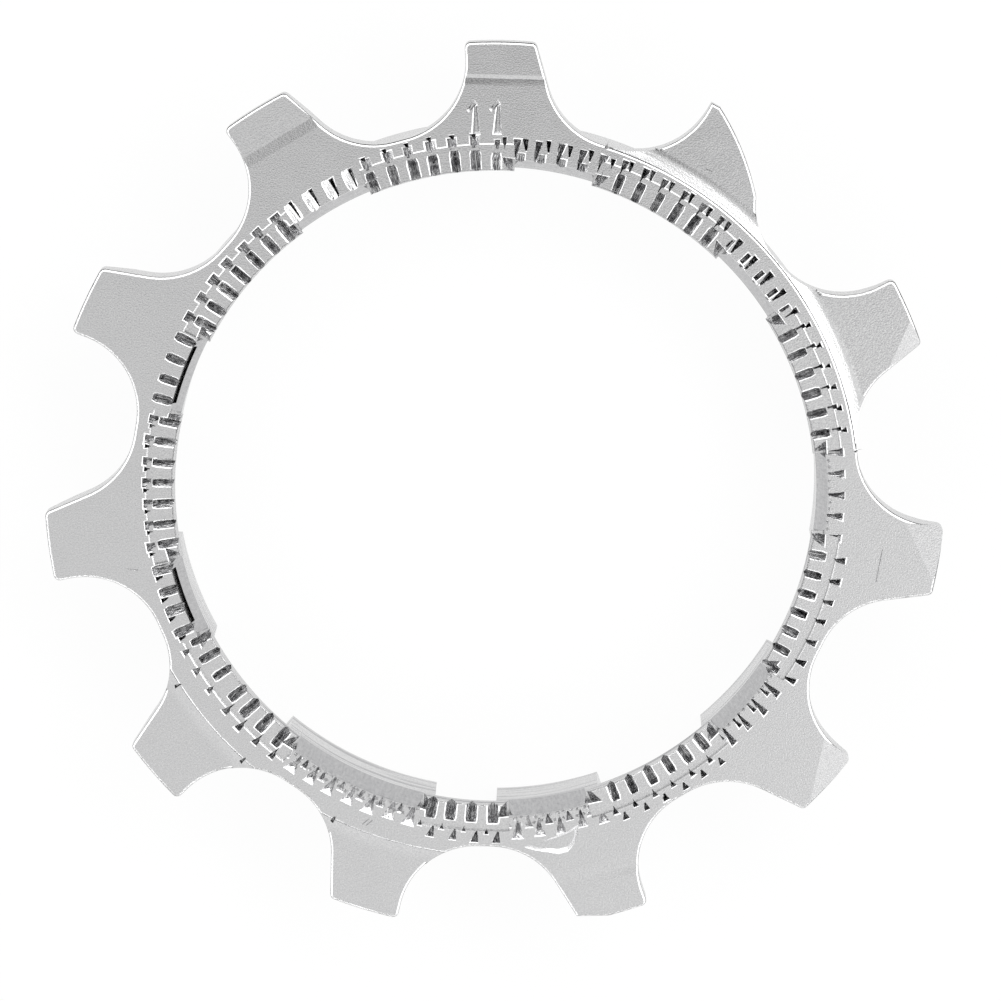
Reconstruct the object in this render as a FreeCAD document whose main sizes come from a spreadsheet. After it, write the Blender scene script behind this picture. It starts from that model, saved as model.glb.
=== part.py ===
import FreeCAD, Part
import os
from math import atan2, cos, radians, sin, sqrt

import Sketcher
from FreeCAD import Vector

# Smallest cog of a bicycle cassette, one steel piece, lying on its spacer collar.
# Origin on the bore axis at the back face, +Z towards the serrated lock ring face,
# the numbered tooth on +Y. Millimetres and degrees.

doc = FreeCAD.newDocument("cassette_cog")
sheet = doc.addObject("Spreadsheet::Sheet", "sizes")

sizes = {
    # teeth
    "tooth_count": 11,
    "chain_pitch": 12.7,
    "roller_diameter": 7.77,
    "roller_clearance": 0.05,
    "seat_radius": 4.03,
    "seat_offset": 0.33,
    "lead_flank_angle": 11,
    "trail_flank_angle": 33,
    "tooth_height": 4.4,
    "tip_round": 0.3,
    "plate_thickness": 1.8,
    "rim_bevel": 0.18,
    "back_bevel_height": 0.8,
    "back_bevel_reach": 1.7,
    # collar and bore
    "overall_depth": 4.8,
    "collar_step": 0.1,
    "collar_bevel": 0.2,
    "key_tip_diameter": 32.96,
    "key_clearance": 0.12,
    "spline_diameter": 35.0,
    "spline_count": 9,
    "key_width_angle": 18.4,
    "key_phase_angle": 1,
    "wide_key_growth": 10.6,
    "lip_overlap_angle": 2.2,
    "lip_thickness": 0.95,
    "key_bevel_width": 0.57,
    "key_bevel_depth": 1.5,
    # lock ring face
    "serration_count": 100,
    "serration_phase_angle": 1.5,
    "serration_outer_diameter": 36.2,
    "serration_width": 0.46,
    "serration_depth": 0.5,
    "pair_angle": 1.25,
    "pair_gap": 0.05,
    "pair_length": 0.45,
    "pair_width": 0.3,
    "pair_depth": 0.38,
    "land_drop": 0.25,
    "land_diameter": 35.5,
    # shift ramps and worn places
    "ramp_depth": 0.35,
    "ramp_width": 0.7,
    "ramp_inner_diameter": 37.1,
    "shelf_depth": 0.16,
    "shelf_width": 0.7,
    "shelf_inner_diameter": 38.05,
    "shelf_step": 0.06,
    "cut_half_width": 3,
    "cut_rise": 0.16,
    "cut_fall": 3.58,
    "cut_bow_radius": 13.5,
    "trim_width": 1.6,
    "trim_fall": 0.39,
    "scoop_angle": 5.6,
    "scoop_rise": 0.12,
    "scoop_length_angle": 9,
    "scoop_width": 1.2,
    "scoop_depth": 0.3,
}
for row, (name, value) in enumerate(sizes.items(), start=1):
    sheet.set("A%d" % row, name)
    sheet.set("B%d" % row, str(value))
    sheet.setAlias("B%d" % row, name)
doc.recompute()


class Size:
    """A number together with the expression over the sheet that gives it."""

    def __init__(self, text, value):
        self.text = text
        self.value = float(value)

    def join(self, sign, other, value):
        return Size("(%s %s %s)" % (self.text, sign, other.text), value)

    def __add__(self, other):
        other = as_size(other)
        return self.join("+", other, self.value + other.value)

    def __sub__(self, other):
        other = as_size(other)
        return self.join("-", other, self.value - other.value)

    def __mul__(self, other):
        other = as_size(other)
        return self.join("*", other, self.value * other.value)

    def __truediv__(self, other):
        other = as_size(other)
        return self.join("/", other, self.value / other.value)


def as_size(number):
    return number if isinstance(number, Size) else Size(repr(float(number)), number)


def size(name):
    return Size("sizes." + name, sheet.get(name))


def sine(angle):
    return Size("sin(%s * 1deg)" % angle.text, sin(radians(angle.value)))


def cosine(angle):
    return Size("cos(%s * 1deg)" % angle.text, cos(radians(angle.value)))


# Sizes that follow from the driving ones
half_pitch = Size("(180 / sizes.tooth_count)", 180 / sheet.get("tooth_count"))
pitch_radius = size("chain_pitch") / (sine(half_pitch) * 2)
root_radius = pitch_radius - size("roller_diameter") / 2 - size("roller_clearance")
tip_radius = root_radius + size("tooth_height")
face = size("overall_depth")
plate_back = face - size("plate_thickness")
collar_radius = root_radius - size("collar_step")
key_radius = size("key_tip_diameter") / 2
lip_radius = key_radius - size("key_clearance")
spline_radius = size("spline_diameter") / 2
land_radius = size("land_diameter") / 2
spline_pitch = Size("(360 / sizes.spline_count)", 360 / sheet.get("spline_count"))
tooth_pitch = half_pitch * 2

# The wide key closes up one recess; the others are one pattern, up to the last key
full_recesses = size("spline_count") - 1
recess_sweep = spline_pitch * (full_recesses - 1)
last_key = size("key_phase_angle") + recess_sweep

# How far a cut runs past the metal, and how far a groove's section stands above the face
past = as_size(1)
skim = as_size(0.1)
quarter = as_size(90)
FULL = as_size(360)

# Teeth counted clockwise from the numbered one, and the middles of the lowered faces
POINTED_TOOTH = 1
TRIMMED_TOOTH = 5
RAMP_MIDDLE = 1.5
SHELF_MIDDLE = 6.5
LOWERED_PITCHES = 2

# Two lengths closer than this are the same length
SAME = 1e-3

body = doc.addObject("PartDesign::Body", "cassette_cog")
body.Label = "cassette_cog"


def origin_feature(role):
    return next(item for item in body.Origin.OriginFeatures if item.Role == role)


XY = origin_feature("XY_Plane")
XZ = origin_feature("XZ_Plane")
YZ = origin_feature("YZ_Plane")
AXIS = origin_feature("Z_Axis")


UP = Vector(0, 0, 1)
ALONG = Vector(0, 1, 0)


def sketch_on(plane, name, lift=None):
    """A sketch on an origin plane, or lifted from it along its normal."""
    sketch = body.newObject("Sketcher::SketchObject", name)
    sketch.AttachmentSupport = [(plane, "")]
    sketch.MapMode = "FlatFace"
    if lift is not None:
        sketch.AttachmentOffset = FreeCAD.Placement(UP * lift.value, FreeCAD.Rotation())
        sketch.setExpression("AttachmentOffset.Base.z", lift.text)
    return sketch


def turned(sketch, axis, angle):
    """Turn a sketch about the bore: UP on the XY plane, ALONG on the XZ plane."""
    sketch.AttachmentOffset = FreeCAD.Placement(Vector(0, 0, 0), FreeCAD.Rotation(axis, angle.value))
    sketch.setExpression("AttachmentOffset.Rotation.Angle", angle.text)
    return sketch


def bind(sketch, kind, places, wanted):
    """A driving constraint that takes its value from the sheet."""
    number = wanted.value
    if kind == "Angle":
        number = radians(number)
    index = sketch.addConstraint(Sketcher.Constraint(kind, *places, number))
    sketch.setExpression("Constraints[%d]" % index, wanted.text)


def polygon(sketch, corners):
    """A closed outline whose corners all take their place from the sheet."""
    points = [Vector(x.value, y.value, 0) for x, y in corners]
    count = len(points)
    for here in range(count):
        sketch.addGeometry(Part.LineSegment(points[here], points[(here + 1) % count]), False)
    for here in range(count):
        sketch.addConstraint(Sketcher.Constraint("Coincident", here, 2, (here + 1) % count, 1))
    for here, (x, y) in enumerate(corners):
        bind(sketch, "DistanceX", (-1, 1, here, 1), x)
        bind(sketch, "DistanceY", (-1, 1, here, 1), y)
    return sketch


def pie(sketch, radius, start, end):
    """A wedge of a disc about the origin, between two angles."""
    first = radians(start.value)
    last = radians(end.value)
    low = Vector(radius.value * cos(first), radius.value * sin(first), 0)
    high = Vector(radius.value * cos(last), radius.value * sin(last), 0)
    circle = Part.Circle(Vector(0, 0, 0), UP, radius.value)
    sketch.addGeometry(Part.LineSegment(Vector(0, 0, 0), low), False)
    sketch.addGeometry(Part.ArcOfCircle(circle, first, last), False)
    sketch.addGeometry(Part.LineSegment(Vector(0, 0, 0), high), False)
    for constraint in (
        Sketcher.Constraint("Coincident", 0, 1, -1, 1),
        Sketcher.Constraint("Coincident", 2, 1, -1, 1),
        Sketcher.Constraint("Coincident", 1, 3, -1, 1),
        Sketcher.Constraint("Coincident", 0, 2, 1, 1),
        Sketcher.Constraint("Coincident", 2, 2, 1, 2),
    ):
        sketch.addConstraint(constraint)
    bind(sketch, "Radius", (1,), radius)
    bind(sketch, "Angle", (0,), start)
    bind(sketch, "Angle", (2,), end)
    return sketch


def check(feature, cuts=True):
    """Recompute and make sure that the feature changed the solid as it should."""
    doc.recompute()
    before = getattr(check, "volume", 0.0)
    volume = feature.Shape.Volume
    if feature.State and ("Invalid" in feature.State or "Error" in feature.State):
        raise RuntimeError("%s failed: %s" % (feature.Name, feature.State))
    if cuts and not volume < before - SAME:
        raise RuntimeError("%s cut nothing" % feature.Name)
    check.volume = volume
    return feature


def pocket(sketch, name, depth, away):
    """A pocket of the given depth. away: True cuts along the sketch's normal."""
    feature = body.newObject("PartDesign::Pocket", name)
    feature.Profile = sketch
    feature.Length = depth.value
    feature.setExpression("Length", depth.text)
    feature.Reversed = away
    return feature


def revolved(kind, sketch, name, angle=None):
    feature = body.newObject(kind, name)
    feature.Profile = sketch
    feature.ReferenceAxis = (sketch, ["V_Axis"])
    feature.Angle = 360
    if angle is not None:
        feature.Angle = angle.value
        feature.setExpression("Angle", angle.text)
        feature.Midplane = True
    return feature


def polar(originals, name, count, angle):
    feature = body.newObject("PartDesign::PolarPattern", name)
    feature.Originals = originals
    feature.Axis = (AXIS, [""])
    feature.Angle = angle.value
    feature.setExpression("Angle", angle.text)
    feature.Occurrences = int(count.value)
    feature.setExpression("Occurrences", count.text)
    body.Tip = feature
    return feature


# The turned blank: tooth disc, spacer collar, lip and key bore in one profile
def blank():
    sketch = sketch_on(XZ, "blank_profile")
    bevel = size("collar_bevel")
    polygon(sketch, [
        (key_radius + bevel, as_size(0)),
        (collar_radius - bevel, as_size(0)),
        (collar_radius, bevel),
        (collar_radius, plate_back),
        (tip_radius, plate_back),
        (tip_radius, face),
        (lip_radius, face),
        (lip_radius, face - size("lip_thickness")),
        (key_radius, face - size("lip_thickness")),
        (key_radius, bevel),
    ])
    feature = revolved("PartDesign::Revolution", sketch, "blank")
    check(feature, cuts=False)
    if feature.Shape.BoundBox.ZMin < -SAME:
        raise RuntimeError("the blank is upside down")


# One gullet: two roller seats, a steep leading flank and a sloping trailing flank
def gullet_sketch():
    sketch = sketch_on(XY, "gullet_outline")
    radius = sheet.get("seat_radius")
    offset = sheet.get("seat_offset")
    height = root_radius.value + radius
    lead = radians(sheet.get("lead_flank_angle"))
    trail = radians(sheet.get("trail_flank_angle"))
    top = tip_radius.value + past.value
    seats = []
    for side, angle in ((1, lead), (-1, trail)):
        centre = Vector(side * offset, height, 0)
        leave = centre + Vector(side * radius * cos(angle), -radius * sin(angle), 0)
        rise = top - leave.y
        outer = Vector(leave.x + side * rise * sin(angle) / cos(angle), top, 0)
        seats.append((centre, leave, outer))
    (first, lead_leave, lead_outer), (second, trail_leave, trail_outer) = seats
    lead_arc = Part.ArcOfCircle(Part.Circle(first, UP, radius), radians(270), radians(360) - lead)
    trail_arc = Part.ArcOfCircle(Part.Circle(second, UP, radius), radians(180) + trail, radians(270))
    floor = Part.LineSegment(Vector(-offset, root_radius.value, 0), Vector(offset, root_radius.value, 0))
    for edge in (
        floor,
        lead_arc,
        Part.LineSegment(lead_leave, lead_outer),
        Part.LineSegment(lead_outer, trail_outer),
        Part.LineSegment(trail_outer, trail_leave),
        trail_arc,
    ):
        sketch.addGeometry(edge, False)
    for constraint in (
        Sketcher.Constraint("Tangent", 0, 2, 1, 1),
        Sketcher.Constraint("Tangent", 1, 2, 2, 1),
        Sketcher.Constraint("Coincident", 2, 2, 3, 1),
        Sketcher.Constraint("Coincident", 3, 2, 4, 1),
        Sketcher.Constraint("Tangent", 4, 2, 5, 1),
        Sketcher.Constraint("Tangent", 5, 2, 0, 1),
        Sketcher.Constraint("Horizontal", 3),
        Sketcher.Constraint("Symmetric", 0, 1, 0, 2, -2),
    ):
        sketch.addConstraint(constraint)
    bind(sketch, "Radius", (1,), size("seat_radius"))
    bind(sketch, "Radius", (5,), size("seat_radius"))
    bind(sketch, "DistanceX", (0, 1, 0, 2), size("seat_offset") * 2)
    bind(sketch, "DistanceY", (-1, 1, 0, 1), root_radius)
    bind(sketch, "DistanceY", (-1, 1, 3, 1), tip_radius + past)
    bind(sketch, "Angle", (2,), quarter - size("lead_flank_angle"))
    bind(sketch, "Angle", (4,), size("trail_flank_angle") - quarter)
    return sketch


# The gullets, turned half a pitch so that the numbered tooth stands on +Y
def gullets():
    sketch = turned(gullet_sketch(), UP, half_pitch)
    feature = pocket(sketch, "gullet", face + past, True)
    check(feature)
    check(polar([feature], "gullets", size("tooth_count"), FULL))


def edges_of(shape, wanted):
    """Names of the edges that the test picks."""
    return ["Edge%d" % number for number, edge in enumerate(shape.Edges, start=1) if wanted(edge)]


def reach(point):
    return sqrt(point.x ** 2 + point.y ** 2)


def level(edge, height):
    return all(abs(vertex.Z - height) < SAME for vertex in edge.Vertexes)


# Rounded corners of the tooth tips
def tip_rounds():
    base = body.Tip
    height = sheet.get("plate_thickness")

    def corner(edge):
        upright = abs(edge.BoundBox.ZLength - height) < SAME
        return upright and abs(reach(edge.CenterOfMass) - tip_radius.value) < SAME

    feature = body.newObject("PartDesign::Fillet", "tip_rounds")
    feature.Base = (base, edges_of(base.Shape, corner))
    feature.Radius = size("tip_round").value
    feature.setExpression("Radius", size("tip_round").text)
    check(feature)


# The teeth thin towards their tips on the back
def back_bevel():
    sketch = sketch_on(XZ, "back_bevel_profile")
    inner = tip_radius - size("back_bevel_reach")
    outer = tip_radius + past
    slope = size("back_bevel_height") / size("back_bevel_reach")
    polygon(sketch, [
        (inner, plate_back),
        (inner, plate_back - past),
        (outer, plate_back - past),
        (outer, plate_back + slope * (outer - inner)),
    ])
    check(revolved("PartDesign::Groove", sketch, "back_bevel"))


# The shifting tooth, cut away towards the clockwise side by one wide bowed cut
def pointed_tooth():
    sketch = turned(sketch_on(XY, "pointed_tooth_outline"), UP, FULL - tooth_pitch * POINTED_TOOTH)
    half = size("cut_half_width")
    high = tip_radius + size("cut_rise")
    low = tip_radius - size("cut_fall")
    top = high + past
    left = Vector(-half.value, high.value, 0)
    right = Vector(half.value, low.value, 0)
    chord = right - left
    bow = sheet.get("cut_bow_radius")
    across = Vector(chord.y, -chord.x, 0).normalize()
    centre = (left + right) / 2 + across * sqrt(bow ** 2 - (chord.Length / 2) ** 2)
    first = atan2(right.y - centre.y, right.x - centre.x)
    last = atan2(left.y - centre.y, left.x - centre.x)
    circle = Part.Circle(centre, UP, bow)
    corner = Vector(half.value, top.value, 0)
    sketch.addGeometry(Part.ArcOfCircle(circle, first, last), False)
    sketch.addGeometry(Part.LineSegment(left, Vector(-half.value, top.value, 0)), False)
    sketch.addGeometry(Part.LineSegment(Vector(-half.value, top.value, 0), corner), False)
    sketch.addGeometry(Part.LineSegment(corner, right), False)
    for constraint in (
        Sketcher.Constraint("Coincident", 0, 2, 1, 1),
        Sketcher.Constraint("Coincident", 1, 2, 2, 1),
        Sketcher.Constraint("Coincident", 2, 2, 3, 1),
        Sketcher.Constraint("Coincident", 3, 2, 0, 1),
        Sketcher.Constraint("Vertical", 1),
        Sketcher.Constraint("Vertical", 3),
        Sketcher.Constraint("Symmetric", 2, 1, 2, 2, -2),
    ):
        sketch.addConstraint(constraint)
    bind(sketch, "Radius", (0,), size("cut_bow_radius"))
    bind(sketch, "DistanceX", (2, 1, 2, 2), half * 2)
    bind(sketch, "DistanceY", (-1, 1, 1, 1), high)
    bind(sketch, "DistanceY", (-1, 1, 3, 2), low)
    bind(sketch, "DistanceY", (-1, 1, 2, 1), top)
    check(pocket(sketch, "pointed_tooth", face + past, True))


# The tooth beside the scoop has one corner of its tip taken off
def trimmed_tooth():
    sketch = turned(sketch_on(XY, "trimmed_tooth_outline"), UP, FULL - tooth_pitch * TRIMMED_TOOTH)
    side = size("trim_width")
    polygon(sketch, [
        (as_size(0), tip_radius),
        (side, tip_radius - size("trim_fall")),
        (side, tip_radius + past),
        (as_size(0), tip_radius + past),
    ])
    check(pocket(sketch, "trimmed_tooth", face + past, True))


# Lowered faces of the shifting teeth, each behind a sloping step
def ramps():
    outer = tip_radius + past
    top = face + past
    lower = face - size("ramp_depth")
    inner = size("ramp_inner_diameter") / 2
    sketch = turned(sketch_on(XZ, "ramp_profile"), ALONG, quarter - tooth_pitch * RAMP_MIDDLE)
    polygon(sketch, [
        (inner, top),
        (inner, face),
        (inner + size("ramp_width"), lower),
        (outer, lower),
        (outer, top),
    ])
    check(revolved("PartDesign::Groove", sketch, "ramp", tooth_pitch * LOWERED_PITCHES))

    lower = face - size("shelf_depth")
    inner = size("shelf_inner_diameter") / 2
    sketch = turned(sketch_on(XZ, "shelf_profile"), ALONG, quarter - tooth_pitch * SHELF_MIDDLE)
    polygon(sketch, [
        (inner, top),
        (inner, face - size("shelf_step")),
        (inner + size("shelf_width"), lower),
        (outer, lower),
        (outer, top),
    ])
    check(revolved("PartDesign::Groove", sketch, "shelf", tooth_pitch * LOWERED_PITCHES))


# A fine bevel round the front edge of the whole tooth outline
def rim_bevel():
    base = body.Tip

    def rim(edge):
        outside = all(reach(vertex.Point) > collar_radius.value for vertex in edge.Vertexes)
        return outside and level(edge, face.value)

    feature = body.newObject("PartDesign::Chamfer", "rim_bevel")
    feature.Base = (base, edges_of(base.Shape, rim))
    feature.Size = size("rim_bevel").value
    feature.setExpression("Size", size("rim_bevel").text)
    check(feature)


# The splined bore: nine recesses between the keys, behind the lip
def splines():
    half_key = size("key_width_angle") / 2
    start = last_key + half_key
    end = last_key + spline_pitch - half_key
    height = face - size("lip_thickness")
    sketch = pie(sketch_on(XY, "recess_outline"), spline_radius, start - FULL, end - FULL)
    recess = pocket(sketch, "recess", height, True)
    check(recess)
    check(polar([recess], "recesses", full_recesses, recess_sweep))
    sketch = pie(sketch_on(XY, "narrow_recess_outline"), spline_radius,
                 start - spline_pitch + size("wide_key_growth") - FULL, end - spline_pitch - FULL)
    check(pocket(sketch, "narrow_recess", height, True))


# Between the keys' lead-ins the lip's face is a lower land
def lands():
    half_notch = size("key_width_angle") / 2 - size("lip_overlap_angle")
    start = last_key + half_notch
    end = last_key + spline_pitch - half_notch
    sketch = pie(sketch_on(XY, "land_outline", face), land_radius, start - FULL, end - FULL)
    land = pocket(sketch, "land", size("land_drop"), False)
    check(land)
    check(polar([land], "lands", full_recesses, recess_sweep))
    sketch = pie(sketch_on(XY, "narrow_land_outline", face), land_radius,
                 start - spline_pitch + size("wide_key_growth") - FULL, end - spline_pitch - FULL)
    check(pocket(sketch, "narrow_land", size("land_drop"), False))


# Each key starts with a cone that lets the cog slide onto the driver
def lead_ins():
    notch = size("key_width_angle") - size("lip_overlap_angle") * 2
    deep = size("key_bevel_depth")
    inner = lip_radius - past
    top = face + past
    profile = [
        (inner, face - deep),
        (key_radius, face - deep),
        (key_radius + size("key_bevel_width") * (deep + past) / deep, top),
        (inner, top),
    ]
    sketch = polygon(turned(sketch_on(XZ, "lead_in_profile"), ALONG, last_key), profile)
    lead_in = revolved("PartDesign::Groove", sketch, "lead_in", notch)
    check(lead_in)
    check(polar([lead_in], "lead_ins", full_recesses, recess_sweep))
    growth = size("wide_key_growth")
    wide_centre = last_key - spline_pitch + growth / 2
    sketch = polygon(turned(sketch_on(XZ, "wide_lead_in_profile"), ALONG, wide_centre), profile)
    check(revolved("PartDesign::Groove", sketch, "wide_lead_in", notch + growth))


def groove(name, angle, outer, length, width, depth):
    """A V groove along a radius, cut inwards from its blunt outer end."""
    sketch = sketch_on(YZ, name + "_section")
    turn = radians(angle.value)
    base = Vector(outer.value * sin(turn), 0, outer.value * cos(turn))
    sketch.AttachmentOffset = FreeCAD.Placement(base, FreeCAD.Rotation(ALONG, angle.value))
    sketch.setExpression("AttachmentOffset.Base.x", (outer * sine(angle)).text)
    sketch.setExpression("AttachmentOffset.Base.z", (outer * cosine(angle)).text)
    sketch.setExpression("AttachmentOffset.Rotation.Angle", angle.text)
    flare = width / 2 * (depth + skim) / depth
    polygon(sketch, [
        (as_size(0) - flare, face + skim),
        (as_size(0), face - depth),
        (flare, face + skim),
    ])
    return check(pocket(sketch, name, length, False))


# The serrated ring that the lock ring bites on: a long and a short V groove in each pair
def serrations():
    outer = size("serration_outer_diameter") / 2
    phase = size("serration_phase_angle")
    long_one = groove("long_serration", phase, outer, outer - lip_radius + past,
                      size("serration_width"), size("serration_depth"))
    length = size("pair_length")
    short_one = groove("short_serration", phase - size("pair_angle"),
                       land_radius + size("pair_gap") + length, length,
                       size("pair_width"), size("pair_depth"))
    check(polar([long_one, short_one], "serrations", size("serration_count"), FULL))


# A crescent scooped from the foot of the trimmed tooth
def scoop():
    middle = quarter - tooth_pitch * TRIMMED_TOOTH - size("scoop_angle")
    sketch = turned(sketch_on(XZ, "scoop_profile"), ALONG, middle)
    foot = root_radius + size("scoop_rise")
    half = size("scoop_width") / 2
    polygon(sketch, [
        (foot - half, face + past),
        (foot - half, face),
        (foot, face - size("scoop_depth")),
        (foot + half, face),
        (foot + half, face + past),
    ])
    check(revolved("PartDesign::Groove", sketch, "scoop", size("scoop_length_angle")))


blank()
gullets()
pointed_tooth()
tip_rounds()
rim_bevel()
trimmed_tooth()
back_bevel()
ramps()
splines()
lands()
lead_ins()
scoop()
serrations()

for item in doc.Objects:
    if "Invalid" in item.State or "Error" in item.State:
        raise RuntimeError("%s is %s" % (item.Name, item.State))
shape = body.Shape
if shape.isNull() or not shape.isValid() or len(shape.Solids) != 1:
    raise RuntimeError("the cog is not one valid solid")
print("volume", round(shape.Volume, 2), "faces", len(shape.Faces))
os.makedirs("parts", exist_ok=True)
shape.exportStep("parts/%s.step" % body.Label)
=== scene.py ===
import random
from math import atan2, cos, degrees, pi, radians, sin, sqrt

import bpy
from mathutils import Matrix, Vector


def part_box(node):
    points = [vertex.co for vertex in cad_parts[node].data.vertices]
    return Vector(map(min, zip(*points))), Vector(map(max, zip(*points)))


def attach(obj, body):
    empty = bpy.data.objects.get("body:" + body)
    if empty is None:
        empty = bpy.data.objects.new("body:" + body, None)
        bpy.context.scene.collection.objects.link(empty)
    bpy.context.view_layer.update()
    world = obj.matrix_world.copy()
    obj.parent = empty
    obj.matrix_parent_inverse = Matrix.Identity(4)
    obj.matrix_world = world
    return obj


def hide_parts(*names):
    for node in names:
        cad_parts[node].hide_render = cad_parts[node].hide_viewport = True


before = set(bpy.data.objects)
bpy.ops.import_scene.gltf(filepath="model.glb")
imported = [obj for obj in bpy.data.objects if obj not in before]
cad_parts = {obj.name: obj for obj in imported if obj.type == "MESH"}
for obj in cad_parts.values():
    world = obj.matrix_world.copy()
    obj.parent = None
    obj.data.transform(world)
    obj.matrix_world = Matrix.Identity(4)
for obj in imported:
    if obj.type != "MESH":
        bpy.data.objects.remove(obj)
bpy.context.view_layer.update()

# The smallest cog of a bicycle cassette, one plated steel piece, modelled in millimetres
# about its bore and made metres at the end. Angles are degrees, counter-clockwise from +X
# seen from the serrated face.
NODE = "cassette_cog"
METRE = 0.001
CAD_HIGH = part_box(NODE)[1]
FACE = CAD_HIGH.z / METRE
UP = Vector((0, 0, 1))

# teeth
TEETH = 11
TOOTH_PITCH = 360 / TEETH
FIRST_TOOTH = 90
TIP = CAD_HIGH.y / METRE
ROOT = 18.604
SEAT = 4.03
SEAT_OFFSET = 0.33
LEAD_FLANK = 11
TRAIL_FLANK = 33
PLATE_BACK = FACE - 1.8
TIP_ROUND = 0.3
SEAT_STEP = 3
CORNER_STEPS = 4
RIM_BEVEL = 0.12
RIM_PROFILE = 0.38
BACK_BEVEL_REACH = 1.7
BACK_BEVEL_HEIGHT = 0.8

# collar and bore
COLLAR = ROOT - 0.1
COLLAR_BEVEL = 0.2
KEY_TIP = 16.48
LIP = 16.36
LIP_BACK = FACE - 0.95
LIP_EDGE = 16.53
LIP_CHAMFER = 0.07
SPLINE = 17.5
KEYS = 9
KEY_PITCH = 360 / KEYS
KEY_PHASE = 1
KEY_WIDTH = 18.4
WIDE_GROWTH = 10.6
OVERLAP = 2.23
LEAD_IN_TOP = 17.05
LEAD_IN_DEPTH = 1.5
LEAD_IN_EDGE = 0.05
LAND = 17.75
LAND_LEVEL = FACE - 0.25

# the struck ring: its marks, and the bright lip of each, which falls and flares over a punch's rim
MARKS = 100
MARK_PITCH = 360 / MARKS
MARK_PHASE = 1.5
LIP_FALL = 0.03
FLARE = 0.048

# How far a mark's cutter, or any other, runs past the metal, and past a face that another left
RISE = 0.06
PAST = 1.0
SEAM = 0.02


def angle_of_tooth(number):
    """The middle of a tooth, counted clockwise from the numbered one."""
    return FIRST_TOOTH - TOOTH_PITCH * number


def polar(radius, angle):
    return radius * cos(radians(angle)), radius * sin(radians(angle))


# Modelling steps

def only(piece):
    """Select this piece and nothing else."""
    bpy.ops.object.select_all(action="DESELECT")
    piece.select_set(True)
    bpy.context.view_layer.objects.active = piece


def face_outwards(piece):
    only(piece)
    bpy.ops.object.mode_set(mode="EDIT")
    bpy.ops.mesh.select_all(action="SELECT")
    bpy.ops.mesh.normals_make_consistent(inside=False)
    bpy.ops.object.mode_set(mode="OBJECT")


def flat_outline(name, points):
    """One flat face with its corners at the given places."""
    bpy.ops.object.select_all(action="DESELECT")
    bpy.ops.mesh.primitive_circle_add(vertices=len(points), fill_type="NGON")
    piece = bpy.context.object
    piece.name = name
    for vertex, place in zip(piece.data.vertices, points):
        vertex.co = place
    return piece


def prism(name, outline, low, high):
    """An upright solid over a closed outline."""
    piece = flat_outline(name, [(x, y, low) for x, y in outline])
    bpy.ops.object.mode_set(mode="EDIT")
    bpy.ops.mesh.select_all(action="SELECT")
    bpy.ops.mesh.extrude_region_move(TRANSFORM_OT_translate={"value": (0, 0, high - low)})
    bpy.ops.object.mode_set(mode="OBJECT")
    face_outwards(piece)
    return piece


def round_bar(name, radius, low, high, count=360):
    bpy.ops.object.select_all(action="DESELECT")
    bpy.ops.mesh.primitive_cylinder_add(vertices=count, radius=radius, depth=high - low,
                                        location=(0, 0, (high + low) / 2))
    piece = bpy.context.object
    piece.name = name
    bpy.ops.object.transform_apply(location=True, rotation=True, scale=True)
    return piece


def lathed(name, profile, start=0.0, sweep=360.0, step=1.0):
    """A profile of (radius, height) corners spun about the bore."""
    piece = flat_outline(name, [(*polar(radius, start), height) for radius, height in profile])
    whole = sweep >= 360
    bpy.ops.object.mode_set(mode="EDIT")
    bpy.ops.mesh.select_all(action="SELECT")
    if whole:
        bpy.ops.mesh.delete(type="ONLY_FACE")
        bpy.ops.mesh.select_all(action="SELECT")
    bpy.ops.mesh.spin(steps=round(sweep / step), angle=-radians(sweep), center=(0, 0, 0), axis=(0, 0, 1))
    if whole:
        bpy.ops.mesh.select_all(action="SELECT")
        bpy.ops.mesh.remove_doubles(threshold=0.0001)
    bpy.ops.object.mode_set(mode="OBJECT")
    face_outwards(piece)
    return piece


def joined(pieces):
    bpy.ops.object.select_all(action="DESELECT")
    for piece in pieces:
        piece.select_set(True)
    bpy.context.view_layer.objects.active = pieces[0]
    if len(pieces) > 1:
        bpy.ops.object.join()
    return bpy.context.object


def boolean(piece, tool, operation="DIFFERENCE"):
    """Join, cut or keep the piece by a tool, which is used up."""
    only(piece)
    modifier = piece.modifiers.new(tool.name, "BOOLEAN")
    modifier.operation = operation
    modifier.solver = "MANIFOLD"
    modifier.object = tool
    bpy.ops.object.modifier_apply(modifier=modifier.name)
    bpy.data.objects.remove(tool)
    return piece


def turned_copy(piece, angle):
    """A copy with its own mesh, turned about the bore."""
    copy = piece.copy()
    copy.data = piece.data.copy()
    bpy.context.collection.objects.link(copy)
    copy.data.transform(Matrix.Rotation(radians(angle), 4, "Z"))
    return copy


# The tooth plate

def flank_and_corner(side, flank):
    """From the seat's bottom up one flank and round the tip's corner, about a gullet on +Y."""
    centre = Vector((side * SEAT_OFFSET, ROOT + SEAT))
    sweep = 90 - flank
    count = round(sweep / SEAT_STEP)
    points = []
    for index in range(count + 1):
        turn = radians(sweep * index / count)
        points.append(centre + SEAT * Vector((side * sin(turn), -cos(turn))))
    along = Vector((side * sin(radians(flank)), cos(radians(flank))))
    inward = Vector((side * cos(radians(flank)), -sin(radians(flank))))
    start = points[-1] + inward * TIP_ROUND
    half = start.dot(along)
    travel = -half + sqrt(half ** 2 - start.length_squared + (TIP - TIP_ROUND) ** 2)
    corner = start + along * travel
    first = atan2(-inward.y, -inward.x)
    last = atan2(corner.y, corner.x)
    for index in range(CORNER_STEPS + 1):
        turn = first + (last - first) * index / CORNER_STEPS
        points.append(corner + TIP_ROUND * Vector((cos(turn), sin(turn))))
    return points


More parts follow.
